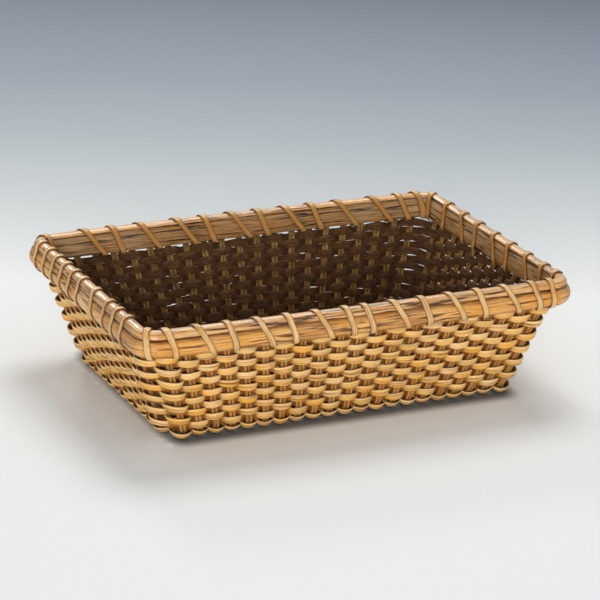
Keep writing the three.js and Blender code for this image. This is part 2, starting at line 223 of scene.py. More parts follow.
def soft_lamp(name, place, size, watts):
    """A round lamp of that size, aimed at the middle of the basket."""
    bpy.ops.object.light_add(type="AREA", location=place)
    lamp = bpy.context.object
    lamp.name = name
    lamp.data.shape = "DISK"
    lamp.data.size = size
    lamp.data.energy = watts
    lamp.rotation_mode = "QUATERNION"
    lamp.rotation_quaternion = (LIT_MIDDLE - lamp.location).to_track_quat("-Z", "Y")
    print(name, watts, "W at", place)


soft_lamp("top_lamp", (0.5, 0.8, 1.7), 1.0, 17.5)
soft_lamp("back_lamp", (0.1, 2.0, 1.25), 0.5, 8)
soft_lamp("front_lamp", (-1.3, -2.7, 0.65), 1.2, 50)

# %% [markdown]
# A studio's walls send a little light back from everywhere. More lamps could do that,
# but the world does it with no shadows of its own. The camera sees it at full strength,
# and the basket gets only a share of it.

# %% World
WORLD_FILL = 0.62
world = bpy.data.worlds.new("soft_room")
bpy.context.scene.world = world
world.use_nodes = True
room = Wire(world.node_tree)
seen = room.node("ShaderNodeLightPath", out="Is Camera Ray")
background = world.node_tree.nodes["Background"]
feed(background, "Color", seen.mix(rgb(229, 231, 233), rgb(205, 210, 214)))
feed(background, "Strength", seen * (1 - WORLD_FILL) + WORLD_FILL)
bpy.context.scene.view_settings.view_transform = "Standard"
print("the world lights the basket at", WORLD_FILL)

# %% [markdown]
# The walls are measured as on the bench: the rim is a rounded rectangle, the foot is a
# smaller one, and 66 stakes stand between them. The sizes could be read off the CAD
# boxes one by one, but a strand needs them all, so they are written down here once. A
# place is counted in stakes from the middle of the front, counter-clockwise.

# %% The basket's measures
RIM_LENGTH, RIM_DEPTH = 381 * MM, 254 * MM
RIM_CORNER_RADIUS, RIM_BOW = 11 * MM, 2.5 * MM
FOOT_LENGTH, FOOT_DEPTH = 302 * MM, 190.4 * MM
ROD_RADIUS = 1.5 * MM
LONG_STAKES, SHORT_STAKES = 21, 12
AROUND = 2 * (LONG_STAKES + SHORT_STAKES)
LAST_LONG, LAST_SHORT = (LONG_STAKES - 1) / 2, (SHORT_STAKES - 1) / 2
END_SETBACK = 15 * MM
BEND_SETBACK, RUNNER_RISE = 4.6 * MM, 5 * MM
ROWS = 13
WEAVER_HEIGHT, WEAVER_THICKNESS = 5.6 * MM, 1.9 * MM
ROW_PITCH_Z, FIRST_ROW_Z = 5.8 * MM, 12.3 * MM
RUNNER_Z, FOOT_Z = ROD_RADIUS, 5 * MM
HOOP_BOTTOM_Z, HOOP_TOP_Z = 80.45 * MM, 96.25 * MM
HOOP_MIDDLE_Z = (HOOP_BOTTOM_Z + HOOP_TOP_Z) / 2
HOOP_HALF = (HOOP_TOP_Z - HOOP_BOTTOM_Z) / 2
STAKE_TOP_Z = 96.05 * MM
HOOP_FACE = 2.1 * MM
OUTER_HOOP_THICKNESS, INNER_HOOP_THICKNESS = 8.8 * MM, 4.4 * MM
LONG_PITCH, SHORT_PITCH = 13.84 * MM, 13.717 * MM
WALL_REACH = HOOP_FACE + OUTER_HOOP_THICKNESS
LEAN_X = (RIM_LENGTH / 2 - WALL_REACH - FOOT_LENGTH / 2) / (HOOP_MIDDLE_Z - FOOT_Z)
LEAN_Y = (RIM_DEPTH / 2 - WALL_REACH - FOOT_DEPTH / 2) / (HOOP_MIDDLE_Z - FOOT_Z)
RIM_TILT = (LEAN_X + LEAN_Y) / 2
print("end walls lean", round(math.degrees(math.atan(LEAN_X)), 1), "degrees")

# %% [markdown]
# A wall's plan has round corners and sides that bow out a little. Its points could be
# picked from the CAD mesh, but a formula gives one at any place and height, also between
# two stakes, which the cane that is wound round the rim needs.

# %% Points of the walls' rounded rectangle
def half_sizes(z):
    """Half the length and half the depth of the walls' middle surface at a height."""
    return FOOT_LENGTH / 2 + LEAN_X * (z - FOOT_Z), FOOT_DEPTH / 2 + LEAN_Y * (z - FOOT_Z)


def wall_point(place, z):
    """The point of the walls' middle surface at a place and a height."""
    half_length, half_depth = half_sizes(z)
    radius = RIM_CORNER_RADIUS
    long_half, short_half = half_length - radius, half_depth - radius
    arc = radius * math.pi / 2
    total = long_half + arc + short_half
    long_run, short_run = half_length - END_SETBACK, half_depth - END_SETBACK
    quarter, within = divmod(place % AROUND, AROUND / 4)
    from_long = AROUND / 4 - within if quarter % 2 else within
    from_short = AROUND / 4 - from_long
    along = long_run + (from_long - LAST_LONG) * (total - long_run - short_run)
    if from_long <= LAST_LONG:
        along = from_long / LAST_LONG * long_run
    if from_short <= LAST_SHORT:
        along = total - from_short / LAST_SHORT * short_run
    angle = min(max(along - long_half, 0), arc) / radius
    x = min(along, long_half) + radius * math.sin(angle)
    y = -short_half - radius * math.cos(angle)
    if along > long_half + arc:
        y = along - total
    y -= RIM_BOW * max(0, 1 - (x / half_length) ** 2) * min(1, -y / short_half)
    return Vector((x if quarter in (0, 1) else -x, y if quarter in (0, 3) else -y, z))


def leaning(out, up):
    """A point of an upright section, leaning as the walls do."""
    height = up - RIM_TILT * out
    return out + RIM_TILT * height, height


def rim_point(place, out, up):
    """A point so far outside the stakes, and so far up from the middle of the hoops."""
    step = 0.02
    ahead = wall_point(place + step, HOOP_MIDDLE_Z) - wall_point(place - step, HOOP_MIDDLE_Z)
    outward = Vector((ahead.y, -ahead.x, 0)).normalized()
    reach, height = leaning(out, up)
    return wall_point(place, HOOP_MIDDLE_Z) + outward * reach + Vector((0, 0, height))


print("front of the rim at y", round(rim_point(0, WALL_REACH, 0).y, 4))

# %% [markdown]
# On the real basket each stake stands on the base's edge and leans out to the rim. Its
# bend at the foot is round, and three points are enough to draw it. The legs could be
# read off the CAD nodes, but their feet and tops follow from the measures above.

# %% Legs of the stakes
class Leg:
    """One standing half of a stake: its foot on the base's edge, and its top at the rim."""

    def __init__(self, place):
        right_wall = LAST_LONG + SHORT_STAKES
        back_wall = right_wall + LONG_STAKES
        left_wall = back_wall + SHORT_STAKES
        if place <= LAST_LONG or place > left_wall:
            column = place if place <= LAST_LONG else place - AROUND
            self.foot = Vector((column * LONG_PITCH, -FOOT_DEPTH / 2, FOOT_Z))
            self.outward = Vector((0, -1, 0))
        elif place <= right_wall:
            column = place - AROUND / 4
            self.foot = Vector((FOOT_LENGTH / 2, column * SHORT_PITCH, FOOT_Z))
            self.outward = Vector((1, 0, 0))
        elif place <= back_wall:
            column = AROUND / 2 - place
            self.foot = Vector((column * LONG_PITCH, FOOT_DEPTH / 2, FOOT_Z))
            self.outward = Vector((0, 1, 0))
        else:
            column = AROUND * 3 / 4 - place
            self.foot = Vector((-FOOT_LENGTH / 2, column * SHORT_PITCH, FOOT_Z))
            self.outward = Vector((-1, 0, 0))
        self.top = wall_point(place, STAKE_TOP_Z)
        self.up = (self.top - self.foot).normalized()
        start = self.foot - self.outward * BEND_SETBACK
        end = self.foot + self.up * BEND_SETBACK
        self.bend = [start, (self.foot * 2 + start + end) / 4, end]


legs = [Leg(place) for place in range(AROUND)]
print(len(legs), "legs")

# %% [markdown]
# The rows could be laid on the wall's surface alone, but they have to fit the rods. So
# each row asks every leg where the two cross, which way the wall runs there and which
# way is out. Both turn at the corners, so they are worked out from the neighbours.

# %% Where the rows cross the legs
FOOT_ROW_SHARE, FOOT_ROW_UP, BEND_ROW_UP = 0.85, 1.6, 2


def crossing(row, place):
    """Where a row crosses a leg, and the way up there. Row 0 lies on the leg's bend, and
    row -1 below it."""
    leg = legs[place % AROUND]
    start, middle, _ = leg.bend
    if row == -1:
        return start.lerp(middle, FOOT_ROW_SHARE), (leg.up * FOOT_ROW_UP + leg.outward).normalized()
    if row == 0:
        return middle, (leg.up * BEND_ROW_UP + leg.outward).normalized()
    share = (FIRST_ROW_Z + (row - 1) * ROW_PITCH_Z - FOOT_Z) / (STAKE_TOP_Z - FOOT_Z)
    return leg.foot.lerp(leg.top, share), leg.up


def frame_at(row, place):
    """Centre, way along the wall, way out of it and way up it, and the turn there."""
    centre, up = crossing(row, place)
    arriving = centre - crossing(row, place - 1)[0]
    leaving = crossing(row, place + 1)[0] - centre
    along = (arriving.normalized() + leaving.normalized()).normalized()
    return centre, along, along.cross(up).normalized(), up, arriving.angle(leaving)


corner_turn = frame_at(1, int(LAST_LONG))[-1]
print("at the last long stake a row turns", round(math.degrees(corner_turn)), "degrees")

# %% [markdown]
# Cane and rods are long strands of one section. Each could be pulled out of a primitive
# ring by ring, but a curve that takes its section from a second, closed curve is how a
# cable or a strip is drawn by hand in Blender, and it keeps its width round every bend.
# The curve is then turned into a mesh.

# %% Section curves and strands
def section(name, outline):
    """A closed outline, [out, up] in metres, that a curve takes as its section."""
    bpy.ops.object.select_all(action="DESELECT")
    bpy.ops.curve.primitive_bezier_circle_add()
    drawn = bpy.context.object
    drawn.name = name
    drawn.data.dimensions = "2D"
    drawn.data.splines.clear()
    spline = drawn.data.splines.new("POLY")
    spline.points.add(len(outline) - 1)
    for point, (out, up) in zip(spline.points, outline):
        point.co = (out, up, 0, 1)
    spline.use_cyclic_u = True
    print(name, "with", len(outline), "sides")
    return drawn


def flat_oval(thickness, height, sides=12, squareness=2.8):
    """Outline of a split cane: flat sides and round edges. It starts and ends at the back."""
    outline = []
    for side in range(sides):
        angle = 2 * math.pi * (side + 0.5) / sides
        c, s = math.cos(angle), math.sin(angle)
        outline.append((-thickness / 2 * math.copysign(abs(c) ** (2 / squareness), c),
                        -height / 2 * math.copysign(abs(s) ** (2 / squareness), s)))
    return outline


def strand(name, points, drawn_section, closed, steps):
    """A curve through points, each (place, tilt, radius), as a mesh with that section."""
    bpy.ops.object.select_all(action="DESELECT")
    bpy.ops.curve.primitive_bezier_circle_add()
    curve = bpy.context.object
    curve.name = curve.data.name = name
    curve.data.splines.clear()
    spline = curve.data.splines.new("BEZIER")
    spline.bezier_points.add(len(points) - 1)
    for point, (place, tilt, radius) in zip(spline.bezier_points, points):
        point.handle_left_type = point.handle_right_type = "AUTO"
        point.co = place
        point.tilt = tilt
        point.radius = radius
    spline.use_cyclic_u = closed
    curve.data.twist_mode = "Z_UP"
    curve.data.resolution_u = steps
    curve.data.bevel_mode = "OBJECT"
    curve.data.bevel_object = drawn_section
    curve.data.use_fill_caps = not closed
    bpy.ops.object.convert(target="MESH")
    bpy.ops.object.shade_smooth()
    return bpy.context.object

# %% [markdown]
# Rattan's fibres run along the strand, so a pattern on the object's own axes would cut
# across them. Each strand keeps a few measures on its vertices instead, which the
# finishes follow: "grain" is how far along it they lie and how far round its section,
# "edge" is how near its upper edge, and "depth" is how deep behind the wall.

# %% Measures kept on a strand
def corners(piece):
    """The piece's vertices as an array of points."""
    flat = np.zeros(len(piece.data.vertices) * 3)
    piece.data.vertices.foreach_get("co", flat)
    return flat.reshape(-1, 3)


def keep(piece, name, values, kind="FLOAT"):
    """Stores one value, or one vector, for each vertex."""
    field = "value" if kind == "FLOAT" else "vector"
    made = piece.data.attributes.new(name, kind, "POINT")
    made.data.foreach_set(field, np.asarray(values, np.float32).ravel())


def keep_grain(piece, outline, seed, closed=False):
    """Stores the grain and the edge of a strand whose vertices run ring by ring. On a
    closed strand the way along grows to the half and comes back, so it has no seam."""
    points = corners(piece)
    sides = len(outline)
    rings = len(points) // sides
    centres = points[:rings * sides].reshape(rings, sides, 3).mean(axis=1)
    steps = np.linalg.norm(np.diff(centres, axis=0), axis=1)
    run = np.concatenate([[0], np.cumsum(steps)])
    if closed:
        run = np.minimum(run, run[-1] + np.linalg.norm(centres[-1] - centres[0]) - run)
    along = np.repeat(run, sides)
    ring = np.array(outline)
    girth = np.linalg.norm(np.roll(ring, -1, axis=0) - ring, axis=1)
    around = np.tile(np.concatenate([[0], np.cumsum(girth)[:-1]]), rings)
    grain = np.stack([along, around, np.full(len(along), seed)], axis=1)
    keep(piece, "grain", grain, "FLOAT_VECTOR")
    low, high = ring[:, 1].min(), ring[:, 1].max()
    keep(piece, "edge", np.tile((2 * ring[:, 1] - low - high) / (high - low), rings))


def finished(piece, finish, node):
    """Gives a piece its finish and lets it stand for its CAD node."""
    piece.data.materials.clear()
    piece.data.materials.append(finish)
    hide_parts(node)
    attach(piece, "root")

# %% [markdown]
# Split cane and rattan rods show long fine fibres, slow changes of colour along the
# strand, and a soft shine from old varnish. The inside of the basket is stained dark,
# and its colour is darkened further there as painted shade. The colour also holds
# painted light: a lighter upper edge and a darker lower edge on some canes, dark lines
# of painted shade along the edges of others, and painted shade where cane passes
# behind the stakes. One picture of cane on everything would repeat itself, so the marks
# are noises that are stretched along the grain. Every kind of cane passes its own
# colours to the same recipe: the main one and then those that it drifts to.

# %% Cane finish
STREAK, HAIR, WEAR, BAND = (38, 1100, 5.7), (30, 2300, 3.7), (240, 420, 2.9), (11, 420, 8.3)
STREAK_DARK, BAND_DARK, WEAR_DARK, HAIR_PALE = 0.62, 0.2, 0.18, 0.22
LIGHT_FIBRE_AND_HIGHLIGHT = rgb(255, 228, 176)
FIBRE_HEIGHT = 0.0005
WORN_SHARES = (2.6, 3.0, 3.4)


def cane_finish(name, tones, stain_and_shade, roughness, fibre=1.0, coat=0.25, coarse=1.0,
                painted_edge_light_shade=0.0, painted_outline_shade=0.0, drift=1.0, gap=None, inner=None):
    """A cane in its tones: the third argument is the colour of its dark fibres and also of
    the painted shade along its edges, gap is painted shade on the parts between the
    stakes, and inner is the side that faces into the basket, stained and also darkened as
    painted shade. The edge argument paints a lighter upper edge and a darker lower one,
    and the outline argument paints shade along both edges."""
    finish, wire, shader = new_finish(name)
    grain = wire.node("ShaderNodeAttribute", {"attribute_name": "grain"}, out="Vector")
    depth = wire.node("ShaderNodeAttribute", {"attribute_name": "depth"}, out="Fac")
    edge = wire.node("ShaderNodeAttribute", {"attribute_name": "edge"}, out="Fac")

    def noise(scales, width=1.0, detail=1.0):
        """A noise with scales per metre along the strand and round it, and a shift."""
        along, around, shift = scales
        stretched = wire.vector("MULTIPLY", grain, (along, around / width, shift))
        values = {"Vector": stretched, "Scale": 1.0, "Detail": detail}
        return wire.node("ShaderNodeTexNoise", None, values)

    colour = tones[0]
    for order, other in enumerate(tones[1:]):
        patch = noise((drift * (44 - 9 * order), 0, 7.3 - 2.1 * order))
        colour = (patch.between(0.5, 0.62) * 0.85).mix(colour, other)
    streak, hair = noise(STREAK, coarse, 2.0), noise(HAIR, coarse)
    wear, band = noise(WEAR, detail=2.0), noise(BAND, coarse)
    patchy = band.between(0.42, 0.6) * 0.65 + 0.35
    dark = streak.between(0.47, 0.6) * patchy * STREAK_DARK * fibre
    dark = dark + wear.between(0.55, 0.75) * WEAR_DARK
    dark = dark + band.between(0.52, 0.68) * BAND_DARK * fibre
    colour = dark.mix(colour, stain_and_shade)
    # Lighter fibres, and on some canes a painted highlight along the upper edge.
    pale = hair.between(0.54, 0.7) * HAIR_PALE * fibre + edge.between(0.3, 1.0) * painted_edge_light_shade
    colour = pale.mix(colour, LIGHT_FIBRE_AND_HIGHLIGHT)
    # Painted shade on the parts that lie behind or between the stakes.
    colour = depth.between(0.1, 0.5).mix(colour, gap or stain_and_shade)
    # Painted shade: a darker lower edge, and dark lines along both edges of the pole and the
    # binding cane.
    painted_edge_shade = edge * edge * painted_outline_shade + (edge * -1).between(0.5, 1.0) * painted_edge_light_shade
    colour = painted_edge_shade.between(0.1, 1.0).mix(colour, stain_and_shade)
    # The side that faces in: stained, and darkened further as painted shade.
    shaded_inner = shaded_inner_mottle(wear, streak, inner or stain_and_shade)
    feed(shader, "Base Color", depth.between(0.6, 0.95).mix(colour, shaded_inner))
    feed(shader, "Roughness", streak * 0.2 + depth * 0.35 + (roughness - 0.1))
    fibres = {"Strength": 0.6, "Distance": FIBRE_HEIGHT * coarse, "Height": streak + hair}
    feed(shader, "Normal", wire.node("ShaderNodeBump", None, fibres, out="Normal"))
    feed(shader, "Coat Weight", (1 - depth.between(0.0, 0.6)) * coat)
    shader.inputs["Coat Roughness"].default_value = 0.25
    shader.inputs["Specular IOR Level"].default_value = 0.3
    print("finish", name, "drifts between", len(tones), "tones")
    return finish


def shaded_inner_mottle(wear, streak, stain_and_shade):
    """The dark colour of the inner side, stained and also darkened as painted shade, with
    paler worn stretches.
    """
    worn = tuple(min(1, part * share) for part, share in zip(stain_and_shade, WORN_SHARES)) + (1.0,)
    return (wear.between(0.46, 0.64) * 0.6 + streak.between(0.48, 0.66) * 0.4).mix(stain_and_shade, worn)


# Woven cane: a painted highlight on its upper edge and painted shade on its lower one. For the cane
# and the rods the gap colour is painted shade behind the stakes, and the inner colour is partly
# stained and partly painted shade.
weaver_cane = cane_finish(
    "woven_cane", [rgb(242, 188, 104), rgb(236, 166, 52), rgb(244, 196, 132), rgb(224, 172, 88)],
    rgb(104, 56, 12), 0.5, painted_edge_light_shade=0.3, drift=0.6, gap=rgb(158, 96, 32), inner=rgb(76, 48, 24))
rod_cane = cane_finish(
    "stake_rods", [rgb(200, 138, 64), rgb(190, 122, 46), rgb(190, 140, 80)],
    rgb(104, 58, 16), 0.55, gap=rgb(146, 88, 30), inner=rgb(122, 92, 52))
base_cane = cane_finish(
    "base_cane", [rgb(120, 92, 56), rgb(104, 74, 42), rgb(112, 90, 62)],
    rgb(58, 40, 24), 0.55, inner=rgb(60, 42, 26))

# %% [markdown]
# A wall row goes outside one pair of rods and inside the next, all the way round. A
# plain wave could stand for it, but a real pass lies flat on the rods and then slants
# straight to the next pair, so the row is a closed curve with two points for each pair,
# HUG to either side of it. No two passes are quite alike: each has its own height,
# reach, tilt, size and slant. The passes outside sit a little high and those inside a
# little low on the near walls, and slightly the other way on the far ones, so that few
# slits show.

# %% Course of a wall row
WEAVE_REACH = ROD_RADIUS + WEAVER_THICKNESS / 2 + 0.1 * MM
HUG = 4.1 * MM
CORNER_SWING = 2.4 * MM
BEND_ROW_SINK = 0.9 * MM
PACKED, INSIDE_SHARE, BEND_ROW_SHARE = 1.06, 1.18, 0.92
LIFT, FAR_LIFT_SHARE = 0.7 * MM, -0.4
SLANT = 0.4 * MM
UNEVEN_LIFT, UNEVEN_REACH = (-0.2, 0.2), (-0.05, 0.15)
UNEVEN_TILT, UNEVEN_SIZE = (-0.07, 0.07), (0.97, 1.04)
STEPS = 4
ROW_SHIFT = 7.7
chance = random.Random(64)
cane_outline = flat_oval(WEAVER_THICKNESS, WEAVER_HEIGHT * PACKED)
cane_section = section("cane_section", cane_outline)


def row_lift(row, outside, out):
    """How far a pass sits above its row, or below it."""
    if row <= 0:
        return 0
    lift = LIFT if outside else -LIFT
    return lift if out.x + out.y < 0 else lift * FAR_LIFT_SHARE


def row_course(row):
    """The curve points of a row, and the wall's middle and way out at each of them."""
    points, middles, outs = [], [], []
    for place in range(AROUND):
        centre, along, out, up, turn = frame_at(row, place)
        outside = (place + row) % 2 == 0
        reach = WEAVE_REACH if outside else -WEAVE_REACH
        if row <= 0 and not outside:
            reach -= BEND_ROW_SINK
        swing = CORNER_SWING * math.sin(turn / 2) if outside else 0
        sideways = Vector((along.y, -along.x, 0)).normalized()
        lift = chance.uniform(*UNEVEN_LIFT) * MM + row_lift(row, outside, out)
        base = centre + sideways * swing + up * lift
        base += out * (reach + chance.uniform(*UNEVEN_REACH) * MM)
        tilt = math.atan2(up.dot(sideways), up.z) + chance.uniform(*UNEVEN_TILT)
        size = chance.uniform(*UNEVEN_SIZE) * (BEND_ROW_SHARE if row <= 0 else 1)
        size *= 1 if outside else INSIDE_SHARE
        slant = up * chance.uniform(-SLANT, SLANT)
        for way in (-1, 1):
            gap = (crossing(row, place + way)[0] - centre).length
            hug = along * way * HUG * gap / LONG_PITCH + slant * way
            points.append((base + hug, tilt, size))
            middles.append(centre + hug)
            outs.append(out)
    return points, np.array(middles), np.array(outs)

# %% [markdown]
# Split cane narrows where it is pulled between two stakes. The curve's radius could say
# that with a third point for each pair, but the mesh is already cut into even rings, so
# each ring is scaled about its own middle. The far walls keep more of their width,
# because the photograph shows few slits there. Then each vertex is told how deep behind
# the wall it lies, for the finish to darken it: painted shade where the cane passes
# behind the stakes, and on the side that faces in a stained colour that is also
# painted shade.

# %% Taper and depth of a row
TAPER, FULL_MIDDLE = 0.26, 0.3
BACK_RELIEF, RIGHT_RELIEF = 1.1, 0.4
GAP_FROM, GAP_DEPTH = 0.75, 2.5 * MM
INNER_FROM, INNER_RISE = 0.3, 1.2


def rings_of(piece):
    """The vertices ring by ring, and the place of each ring in curve points."""
    spots = corners(piece).reshape(-1, len(cane_outline), 3)
    return spots, np.arange(len(spots)) / STEPS - 1


def taper(piece, outs):
    """Narrows each pass where it dives between the stakes, but not on the back wall."""
    spots, place = rings_of(piece)
    from_middle = np.abs((place + 0.5) % 2 - 1)
    middle = spots.mean(axis=1, keepdims=True)
    out = np.maximum(outs[np.round(place).astype(int) % len(outs)], 0)
    share = np.clip(1 - BACK_RELIEF * out[:, 1] - RIGHT_RELIEF * out[:, 0], 0, 1)
    size = 1 + TAPER * share * (FULL_MIDDLE - from_middle ** 2)
    spots = middle + (spots - middle) * size[:, None, None]
    piece.data.vertices.foreach_set("co", spots.ravel())
    piece.data.update()


def behind(piece, middles, outs):
    """1 for a vertex that faces in, up to half for one inside the stakes, else 0."""
    spots, place = rings_of(piece)
    here = np.floor(place).astype(int)
    share = (place - here)[:, None]
    after = (here + 1) % len(middles)
    middle = middles[here] * (1 - share) + middles[after] * share
    out = outs[here] * (1 - share) + outs[after] * share
    forward = ((spots - middle[:, None]) * out[:, None]).sum(axis=2)
    inside = np.clip(GAP_FROM - forward / GAP_DEPTH, 0, 1)
    facing = np.array(cane_outline)[:, 0] / (WEAVER_THICKNESS / 2)
    return np.maximum(inside * 0.5, np.clip(INNER_FROM - INNER_RISE * facing, 0, 1))

# %% [markdown]
# The rows are drawn from the foot up. Copies of one row would be quicker, but every row
# is longer than the one below, and the same marks would show again on each. The strand
# under the bend belongs to the lowest row, so the two are joined.

# %% Wall rows
def row_strand(row, name):
    """One row of cane as a mesh, with the measures that its finish reads."""
    points, middles, outs = row_course(row)
    piece = strand(name, points, cane_section, True, STEPS)
    taper(piece, outs)
    keep_grain(piece, cane_outline, row * ROW_SHIFT, True)
    # Where the finish paints shade behind the stakes and on the inner side.
    keep(piece, "depth", behind(piece, middles, outs))
    return piece


def joined(parts, name):
    """Several pieces made one, under a name."""
    bpy.ops.object.select_all(action="DESELECT")
    for part in parts:
        part.select_set(True)
    bpy.context.view_layer.objects.active = parts[0]
    bpy.ops.object.join()
    piece = bpy.context.object
    piece.name = piece.data.name = name
    return piece


def wall_row(row):
    """A row for its CAD node; the lowest takes the strand under the bend with it."""
    name = f"woven_row_{row + 1:02d}"
    piece = row_strand(row, name)
    if row == 0:
        piece = joined([piece, row_strand(-1, "foot_strand")], name)
    finished(piece, weaver_cane, f"wall_weaver_{row + 1:02d}")
    return piece


rows = [wall_row(row) for row in range(ROWS)]
print(ROWS, "rows with", sum(len(piece.data.polygons) for piece in rows), "faces")

# %% [markdown]
# Each stake is a pair of thin round rods that run up one wall, across the base and up
# the wall opposite. One wide strip could stand for the pair, but the groove between the
# rods shows in every gap of the weave. One rod is drawn as a curve, and its twin beside
# it. Points close to each bend keep the long straight runs straight.

# %% Course of a rod
BESIDE_SHARE = 0.99
ROD_SIDES, ROUND = 10, 2.0
LEG_SHARES, LEVEL_STEPS = (0.6, 0.2), (2, 8)
WALL_FROM, BASE_FROM, SIDE_BLEND, BASE_LAYER = 0.62, 0.5, 3 * MM, 2 * MM
rod_outline = flat_oval(2 * ROD_RADIUS, 2 * ROD_RADIUS, ROD_SIDES, ROUND)
rod_section = section("rod_section", rod_outline)


def rod_route(place, opposite, across, base_z, side):
    """Points of one rod of a pair; side says which, -1 or 1."""
    beside = across * side * ROD_RADIUS * BESIDE_SHARE
    halves = []
    for leg in (legs[place], legs[opposite]):
        points = [leg.top, *(leg.foot.lerp(leg.top, share) for share in LEG_SHARES)]
        points += leg.bend[::-1]
        if base_z < FOOT_Z:
            landing = leg.bend[0] - leg.outward * RUNNER_RISE
            landing.z = base_z
            points.append(landing)
        for step in LEVEL_STEPS:
            points.append(points[-1] - leg.outward * step * MM)
        halves.append([point + beside for point in points])
    return halves[0] + halves[1][::-1]


def inside_share(spots):
    """1 for points on the basket's inner side, 0 for those on its outer side."""
    x, y, z = np.abs(spots[:, 0]), np.abs(spots[:, 1]), spots[:, 2]
    half_length, half_depth = half_sizes(z)
    climbed = (z - FOOT_Z) / (STAKE_TOP_Z - FOOT_Z)
    half_depth = half_depth + RIM_BOW * climbed * np.maximum(0, 1 - (x / half_length) ** 2)
    wall = WALL_FROM - np.maximum(x - half_length, y - half_depth) / SIDE_BLEND
    base = BASE_FROM + (z - FOOT_Z) / SIDE_BLEND
    return np.clip(np.where(z < FOOT_Z + BASE_LAYER, base, wall), 0, 1)

# %% [markdown]
# A stake's two rods are joined to make one piece, because the CAD has one solid for the
# pair. A single curve with both outlines in its section could do too, but then the rods
# would have the same thickness all along. First come the stakes from front to back, and
# then those from end to end, which run below them.

# %% Stakes
UNEVEN_ROD = (0.97, 1.0)
ROD_STEPS, ROD_SHIFT = 5, 3.3


def stake(name, node, place, opposite, across, base_z):
    """A pair of rods from one place over the base to the opposite one."""
    rods = []
    for side in (-1, 1):
        route = rod_route(place, opposite, across, base_z, side)
        points = [(spot, 0, chance.uniform(*UNEVEN_ROD)) for spot in route]
        rod = strand(f"{name}_{side}", points, rod_section, False, ROD_STEPS)
        keep_grain(rod, rod_outline, place * ROD_SHIFT + side)
        rods.append(rod)
    piece = joined(rods, name)
    # The rods' inner halves take painted shade, and their inner sides a stained colour that is also
    # painted shade.
    keep(piece, "depth", inside_share(corners(piece)))
    finished(piece, rod_cane, node)
    return piece


stakes = []
for number in range(LONG_STAKES):
    column = number - int(LAST_LONG)
    stakes.append(stake(
        f"cross_rods_{number + 1:02d}", f"cross_stake_{number + 1:02d}",
        column % AROUND, AROUND // 2 - column, Vector((1, 0, 0)), FOOT_Z))
for number in range(SHORT_STAKES):
    left_place = int(AROUND * 3 / 4 - number + LAST_SHORT)
    right_place = int(AROUND / 4 + number - LAST_SHORT)
    stakes.append(stake(
        f"long_rods_{number + 1:02d}", f"long_stake_{number + 1:02d}",
        left_place, right_place, Vector((0, -1, 0)), RUNNER_Z))
print(len(stakes), "stakes with", sum(len(piece.data.polygons) for piece in stakes), "faces")

# %% [markdown]
# Two strands of wider cane weave the base. Separate strips could fill it, but a real
# strand isn't cut at each end: it snakes to and fro over and under the rods that run
# from front to back, and turns round on top of the last pair.

# %% Base
BASE_WIDTH, BASE_THICKNESS = 9 * MM, 1.4 * MM
BASE_REACH = ROD_RADIUS + BASE_THICKNESS / 2 + 0.25 * MM
BASE_HUG = HUG * 0.6
TURN_INSET, TURN_SHARES, TURN_SIZE = 1.2 * MM, (0.3, 0.7), 0.95
BASE_STEPS, BASE_SHIFT, FIRST_SHIFT = 3, 9.1, 200
base_outline = flat_oval(BASE_THICKNESS, BASE_WIDTH)
base_section = section("base_section", base_outline)


def base_strand(name, node, first_pass, last_stake):
    """A strand that weaves every second gap between the long stakes."""
    points = []
    heading = 1
    flat = math.pi / 2
    top, bottom = FOOT_Z + BASE_REACH, FOOT_Z - BASE_REACH
    for run in range(first_pass, SHORT_STAKES + 1, 2):
        y = (run - SHORT_STAKES / 2) * SHORT_PITCH
        for step in range(2 * last_stake + 1):
            x = heading * (step - last_stake) * LONG_PITCH
            z = bottom if step % 2 else top
            for way in (-1, 1):
                points.append((Vector((x + heading * way * BASE_HUG, y, z)), flat, 1.0))
        if run + 2 <= SHORT_STAKES:
            end = heading * (last_stake * LONG_PITCH - TURN_INSET + BASE_WIDTH / 2)
            for share in TURN_SHARES:
                points.append((Vector((end, y + share * 2 * SHORT_PITCH, top)), flat, TURN_SIZE))
        heading = -heading
    piece = strand(name, points, base_section, False, BASE_STEPS)
    keep_grain(piece, base_outline, first_pass * BASE_SHIFT + FIRST_SHIFT)
    # The base's middle layer between the rods takes the dark colour as painted shade, and its upper
    # side the inner colour, stained and painted shade.
    rise = (corners(piece)[:, 2] - FOOT_Z) / SIDE_BLEND
    keep(piece, "depth", np.clip(BASE_FROM + rise, 0, 1))
    finished(piece, base_cane, node)
    print(name, len(piece.data.polygons), "faces")


base_strand("base_run_a", "base_weaver_a", 0, int(LAST_LONG))
base_strand("base_run_b", "base_weaver_b", 1, int(LAST_LONG) - 1)

# %% [markdown]
# The rim is a split pole outside, a flat strip inside and a narrower strip on top. Each
# could be a bent box with round edges, but all three follow one course with different
# sections, so each is a strand with its own leaning outline, measured from the stakes
# and from the hoops' middle.

# %% Outlines of the rim
inner = -HOOP_FACE - INNER_HOOP_THICKNESS
STRIP_BOTTOM, STRIP_WIDTH, STRIP_HEIGHT = HOOP_HALF + 0.2 * MM, 11.2 * MM, 4.2 * MM
POLE_STEPS = 16


def rounded(outline, times=2):
    """Cuts each side of a closed outline at its quarters, so that its corners turn round."""
    for _ in range(times):
        cut = []
        for index, (x, y) in enumerate(outline):
            nx, ny = outline[(index + 1) % len(outline)]
            cut.append((x * 0.75 + nx * 0.25, y * 0.75 + ny * 0.25))
            cut.append((x * 0.25 + nx * 0.75, y * 0.25 + ny * 0.75))
        outline = cut
    return outline


def pole_point(turn):
    """A point of the half-round pole, from 0 at its lower edge to 1 at its upper one."""
    angle = math.pi * (turn - 0.5)
    return HOOP_FACE + OUTER_HOOP_THICKNESS * math.cos(angle), HOOP_HALF * math.sin(angle)


